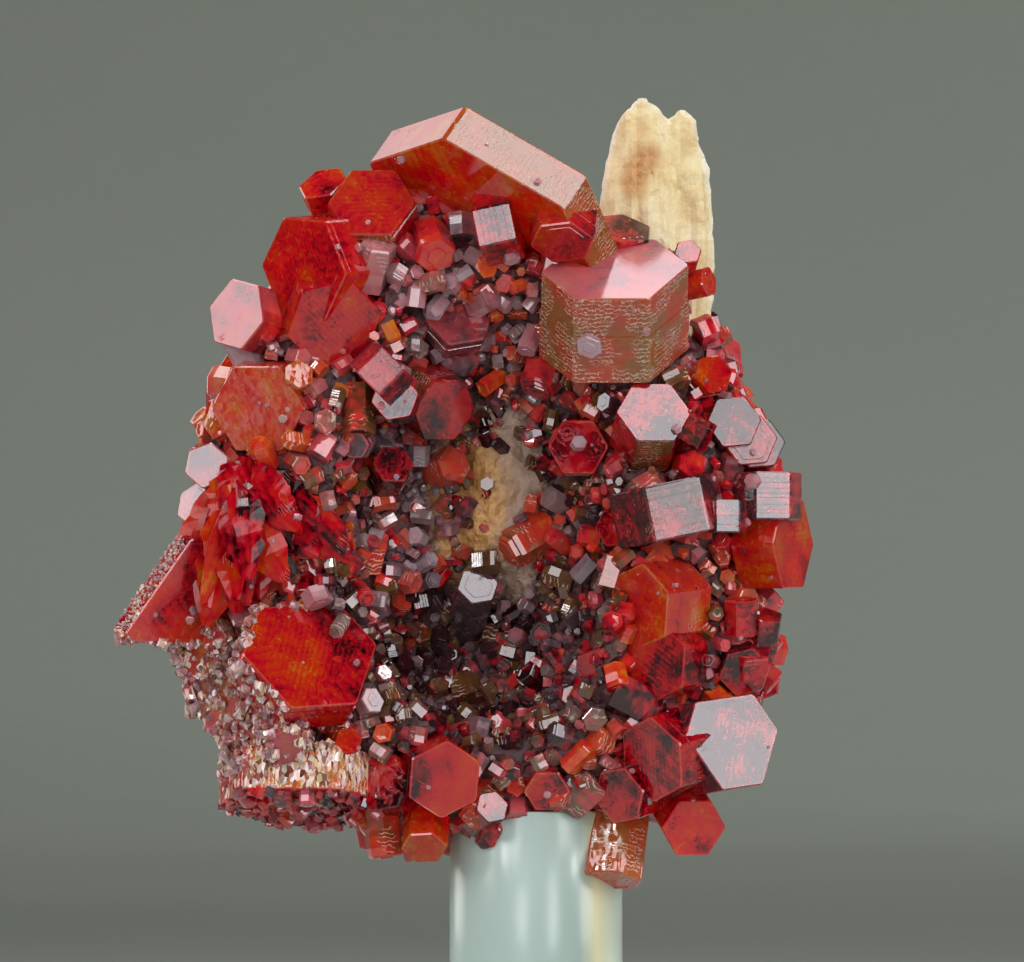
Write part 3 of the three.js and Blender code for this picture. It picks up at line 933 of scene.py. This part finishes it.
PIT_TOP = HOLLOW_MIDDLE.z - 5.5
# hue from, to and paleness from, to
HOLLOW_SEEDS = [(0.0, 0.2, 0.0, 0.05), (0.0, 0.25, 0.0, 0.1), (0.2, 0.5, 0.05, 0.25),
                (0.1, 0.3, 0.3, 0.7), (0.4, 0.75, 0.0, 0.1)]
# darker, less amber colours for the seeds in the pit: partly their own maroon, partly painted shade
PIT_SEEDS = [(0.0, 0.25, 0.0, 0.05), (0.0, 0.25, 0.03, 0.12), (0.05, 0.3, 0.08, 0.25),
             (0.1, 0.3, 0.2, 0.45)]
PALE_SEEDS = [(0.1, 0.4, 0.3, 0.8), (0.1, 0.3, 0.6, 1.0), (0.2, 0.5, 0.1, 0.3),
              (0.45, 0.75, 0.0, 0.1)]
RIM_SEEDS = [(0.05, 0.35, 0.0, 0.05), (0.1, 0.45, 0.0, 0.1), (0.2, 0.4, 0.2, 0.7),
             (0.1, 0.3, 0.1, 0.3), (0.5, 0.7, 0.0, 0.05)]


def seed_kinds(point, hollow):
    """The colours found at this place: pale left of the hollow, and in its pit a maroon that is partly
    painted shade.
    """
    if hollow and point.z < PIT_TOP:
        return PIT_SEEDS
    if HOLLOW_MIDDLE.x - 6.5 < point.x < HOLLOW_MIDDLE.x - 1.5 and point.z > HOLLOW_MIDDLE.z - 4.0:
        return PALE_SEEDS
    if point.x < HOLLOW_MIDDLE.x + 3 and point.z > HOLLOW_MIDDLE.z + 7.0:
        return PALE_SEEDS
    return HOLLOW_SEEDS if hollow else RIM_SEEDS


def bareness(point):
    """How likely the hollow's floor stays free of small crystals here."""
    rise = ((point.z - HOLLOW_MIDDLE.z - 0.4) / 5.6) ** 2
    if ((point.x - HOLLOW_MIDDLE.x - 1.9) / 1.4) ** 2 + rise < 1:
        return 0.97
    if ((point.x - HOLLOW_MIDDLE.x + 1.2) / 2.2) ** 2 + rise < 1:
        return 0.7
    return 0.0


# some seeds turn a side halfway between the viewer and one of these lamps, so they flash
FLASHING = ("high_left", "high_right", "front_top", "front_left", "front_right",
            "spark_left", "spark_right")
TOWARDS_VIEWER = Vector((0, -1, 0))
GLINTS = [(Vector(LAMPS[name][0]) + TOWARDS_VIEWER).normalized() for name in FLASHING]
GLINT_SHARE = 0.14
DUST_SHARE = 0.011
LARGEST_SEED = 1.0
seeds = Shape()
dust = Shape()
gap = Spacing(1.6)


def seed_on_rock(point, normal, rng):
    hollow = ((point.x - HOLLOW_MIDDLE.x) / 8.8) ** 2 + ((point.z - HOLLOW_MIDDLE.z) / 14.4) ** 2 < 1
    if on_blade(point) or rng.random() < bareness(point):
        return
    radius = min(LARGEST_SEED, 0.34 * math.exp(rng.gauss(0, 0.45)) * (1.0 if hollow else 1.5))
    if not gap.free(point, radius, 0.78):
        return
    low_hue, high_hue, low_pale, high_pale = rng.choice(seed_kinds(point, hollow))
    hue, pale = rng.uniform(low_hue, high_hue), rng.uniform(low_pale, high_pale)
    axis = tilt(normal, 0.95, rng)
    glint = None
    if rng.random() < GLINT_SHARE * (0.5 if point.z < PIT_TOP else 1.0):
        glint = np.array(tilt(rng.choice(GLINTS), 0.02, rng))
        radius = max(radius, 0.4)
        point = point + 0.6 * radius * normal
    place_seed(seeds, point, axis, radius, radius * rng.uniform(1.3, 3.2),
               (hue, pale, rng.random(), rng.choice((0.1, 0.5))), rng, radius * 0.4, 0.0, glint)


def dust_on_crystal(point, normal, rng):
    if rng.random() >= DUST_SHARE:
        return
    radius = 0.15 * math.exp(rng.gauss(0, 0.45))
    if not gap.free(point, radius, 1.1):
        return
    axis = tilt(normal, 0.35, rng)
    place_seed(dust, point, axis, radius, radius * rng.uniform(0.7, 1.6),
               (rng.uniform(0.3, 0.5), rng.uniform(0.5, 1.0), rng.random(), 0.1), rng, radius * 0.25)


rng = random.Random("druse")
for _ in range(16000):
    x = rng.uniform(rock_low[0] - 1.5, rock_high[0] + 1.5)
    z = rng.uniform(rock_low[2] - 1.0, rock_high[2] - 3.0)
    kind, point, normal = front_hit(x, z, rng)
    if kind == "rock":
        seed_on_rock(point, normal, rng)
    elif kind == "crystal":
        dust_on_crystal(point, normal, rng)


def inside_face(mesh, face, chooser):
    corners = [mesh.vertices[i].co for i in face.vertices]
    k = chooser.randrange(1, len(corners) - 1)
    a, b = chooser.random(), chooser.random()
    if a + b > 1:
        a, b = 1 - a, 1 - b
    return corners[0] + (corners[k] - corners[0]) * a + (corners[k + 1] - corners[0]) * b


def scatter_on(obj, count, keep, size, hues, pales, shape, spread, share, crust=0.0):
    """Seeds spread evenly over the faces of an object for which keep is true."""
    faces = [p for p in obj.data.polygons if keep(p.center / MM, p.normal)]
    if not faces:
        return
    weights = [p.area for p in faces]
    chooser = random.Random(obj.name + shape.label)
    for face in chooser.choices(faces, weights, k=count):
        point = inside_face(obj.data, face, chooser) / MM
        radius = size * math.exp(chooser.gauss(0, 0.35))
        if gap.free(point, radius, share):
            axis = tilt(face.normal, spread, chooser)
            place_seed(shape, point, axis, radius, radius * chooser.uniform(1.0, 2.6),
                       (chooser.uniform(*hues), chooser.uniform(*pales), chooser.random(), 0.2),
                       chooser, radius * 0.4, crust)


round_side = Shape("sides")


def at_side(point, normal):
    return normal.y > -0.35 and point.y < REAR and not on_blade(point)


def at_back(point, normal):
    patch = fractal(Vector(point), 0.16, 2)
    return normal.y > 0.1 and point.y >= REAR and patch > 0.12


scatter_on(rock, 4200, at_side, 0.5, (0.25, 0.6), (0.0, 0.25), round_side, 0.8, 0.75)
scatter_on(rock, 1500, at_back, 0.42, (0.25, 0.6), (0.0, 0.3), round_side, 0.8, 0.75)

sugar = Shape("sugar")
wedge = bpy.data.objects["left_wedge_tablet_grown"]
wedge_low, wedge_high = (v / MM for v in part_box("left_wedge_tablet"))
SUGAR_TOP = wedge_low.z + 0.55 * (wedge_high.z - wedge_low.z)
scatter_on(wedge, 3000,
           lambda p, n: p.z < SUGAR_TOP, 0.24, (0.3, 0.5), (0.4, 1.0), sugar, 0.8, 0.75, 0.8)
plate = bpy.data.objects["left_front_tablet_grown"]
plate_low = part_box("left_front_tablet")[0] / MM
scatter_on(plate, 900,
           lambda p, n: p.x < plate_low.x + 5.0 and n.y > -0.7 and p.z > plate_low.z + 4.5,
           0.22, (0.3, 0.5), (0.4, 1.0), sugar, 0.8, 0.75, 0.7)
scatter_on(plate, 700,
           lambda p, n: n.z < -0.5 and p.z < plate_low.z + 5.5 and p.x < plate_low.x + 9.0,
           0.22, (0.1, 0.4), (0.0, 0.35), sugar, 0.6, 0.8)
# pale specks on the wedge's faces that turn up and to the left, toward the lamps: partly a pale frost,
# partly a painted highlight
edge = Shape("edge")
scatter_on(wedge, 1900,
           lambda p, n: p.z > SUGAR_TOP and n.x < -0.45 and n.z > 0.2, 0.06, (0.4, 0.6), (0.8, 1.0),
           edge, 0.8, 0.6, 0.5)

for name, shape in (("front_druse", seeds), ("crystal_dust", dust),
                    ("side_druse", round_side), ("sugar_druse", sugar),
                    ("edge_druse", edge)):
    make_piece(name, shape, druse_look)


# ---------------------------------------------------------------- stand
def lathe(name, profile, sides=128):
    """A turned piece from [radius, height] pairs in millimetres, both ends on the axis."""
    shape = Shape()
    points = []
    for radius, height in profile:
        for i in range(sides):
            a = math.tau * i / sides
            points.append((radius * math.cos(a), radius * math.sin(a), height))
    shape.add(points, bridge(len(profile), sides), (0, 0, 0, 1), np.zeros(len(points)))
    piece = make_piece(name, shape, stand_look, smooth=True)
    for polygon in piece.data.polygons:
        polygon.use_smooth = abs(polygon.normal.z) < 0.9
    return piece


rod_low, rod_high = (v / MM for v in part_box("stand_rod"))
rod_r = (rod_high.x - rod_low.x) / 2
rod = lathe("clear_rod", [
    (rod_r - 0.5, rod_low.z), (rod_r - 0.1, rod_low.z), (rod_r, rod_low.z + 0.1),
    (rod_r, rod_high.z - 0.1), (rod_r - 0.1, rod_high.z), (rod_r - 0.5, rod_high.z),
])
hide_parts("stand_rod")
foot_low, foot_high = (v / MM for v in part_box("stand_foot"))
foot_r = (foot_high.x - foot_low.x) / 2
FOOT_EASE = 0.6        # millimetres: the rounding of the foot's edges
inner_r = foot_r - FOOT_EASE
foot_profile = [(foot_r - 2, foot_low.z), (inner_r, foot_low.z)]
for step in range(7):
    a = math.radians(15 * step)
    foot_profile.append((inner_r + FOOT_EASE * math.sin(a), foot_low.z + FOOT_EASE * (1 - math.cos(a))))
for step in range(7):
    a = math.radians(15 * step)
    foot_profile.append((inner_r + FOOT_EASE * math.cos(a), foot_high.z - FOOT_EASE * (1 - math.sin(a))))
foot_profile.append((foot_r - 2, foot_high.z))
foot = lathe("clear_foot", foot_profile)
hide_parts("stand_foot")


# ---------------------------------------------------------------- studio
def backdrop():
    """A bowl, in metres: flat pale floor that curves up into walls all round."""
    sides, radius, curve, height = 96, 1.2, 0.45, 1.6
    profile = [(0.0001, 0.0), (radius - curve, 0.0)]
    for step in range(1, 13):
        a = math.radians(7.5 * step)
        profile.append((radius - curve + curve * math.sin(a), curve - curve * math.cos(a)))
    profile.append((radius, height))
    points, faces = [], []
    for r, h in profile:
        for i in range(sides):
            a = math.tau * i / sides
            points.append((r * math.cos(a), r * math.sin(a), h - 0.0002))
    for k in range(len(profile) - 1):
        for i in range(sides):
            j = (i + 1) % sides
            faces.append([k * sides + i, k * sides + j, (k + 1) * sides + j, (k + 1) * sides + i])
    bowl = bpy.data.meshes.new("studio_bowl")
    bowl.from_pydata(points, [], faces)
    bowl.polygons.foreach_set("use_smooth", [True] * len(bowl.polygons))
    bowl.materials.append(backdrop_material())
    bowl.update()
    piece = bpy.data.objects.new("studio_bowl", bowl)
    bpy.context.scene.collection.objects.link(piece)


SPREAD = math.radians(80)


def softbox(name, direction, distance, size, glow, color, target=(0, 0, 0.038)):
    """A lamp as bright as glow over its whole face, that lights little beside its target."""
    light = bpy.data.lights.new(name, "AREA")
    light.shape = "RECTANGLE"
    light.size, light.size_y = size
    half = SPREAD / 2
    light.energy = glow * math.pi * size[0] * size[1] * (1 - half / math.tan(half))
    light.color = color
    light.spread = SPREAD
    lamp = bpy.data.objects.new(name, light)
    target = Vector(target)
    way = Vector(direction).normalized()
    lamp.location = target + way * distance
    lamp.rotation_euler = way.to_track_quat("Z", "Y").to_euler()
    bpy.context.scene.collection.objects.link(lamp)


backdrop()
for name, settings in LAMPS.items():
    softbox(name, *settings)
world = bpy.data.worlds.new("studio")
bpy.context.scene.world = world
world.use_nodes = True
background = world.node_tree.nodes["Background"]
background.inputs["Color"].default_value = (0.5, 0.54, 0.5, 1)
background.inputs["Strength"].default_value = 0.06

LENS = 400.0
SENSOR = 36.0
VIEW_WIDTH = 0.05632   # metres across the picture at the rod's axis
AIM = Vector((-0.00132, 0.0, 0.038455))
camera_data = bpy.data.cameras.new("camera")
camera_data.lens = LENS
camera_data.sensor_width = SENSOR
camera_data.clip_start = 0.01
camera_data.clip_end = 10
camera = bpy.data.objects.new("camera", camera_data)
camera.location = AIM - Vector((0, VIEW_WIDTH * LENS / SENSOR, 0))
camera.rotation_euler = (math.radians(90), 0, 0)
bpy.context.scene.collection.objects.link(camera)
bpy.context.scene.camera = camera
bpy.context.scene.view_settings.view_transform = "Standard"
